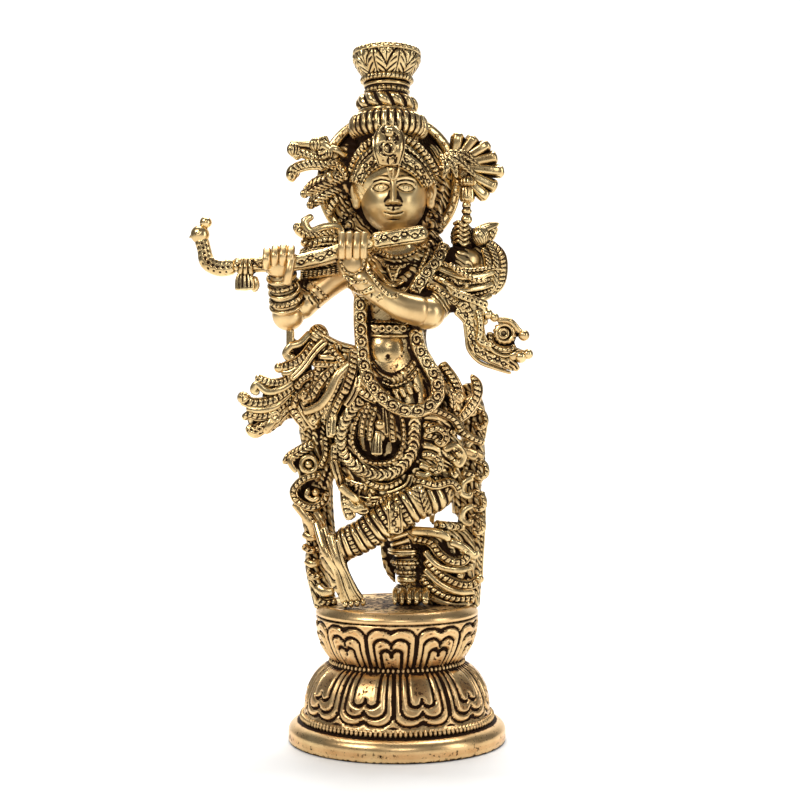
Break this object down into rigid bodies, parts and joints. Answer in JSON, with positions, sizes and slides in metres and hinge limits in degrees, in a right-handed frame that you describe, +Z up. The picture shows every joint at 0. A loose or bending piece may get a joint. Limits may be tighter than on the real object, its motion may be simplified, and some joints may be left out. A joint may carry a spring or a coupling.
{
  "type": "cast brass Krishna statue",
  "caption": "Cast brass figure of Krishna playing the flute with crossed legs, garland and flowing scarves, on an oval double-lotus plinth",
  "frame": {"origin": "middle of the plinth's underside", "axes": "+Z up, the figure faces -Y, the flute points to -X"},
  "size_m": [0.1456, 0.0804, 0.303],
  "materials": {
    "figure_brass": "cast, polished on the high places with a black-brown patina in the recesses",
    "plinth_brass": "cast and worn bright, with a dark patina between the petals"
  },
  "bodies": {
    "root": {"krishna_figure": "figure_brass", "lotus_base": "plinth_brass"}
  },
  "joints": []
}
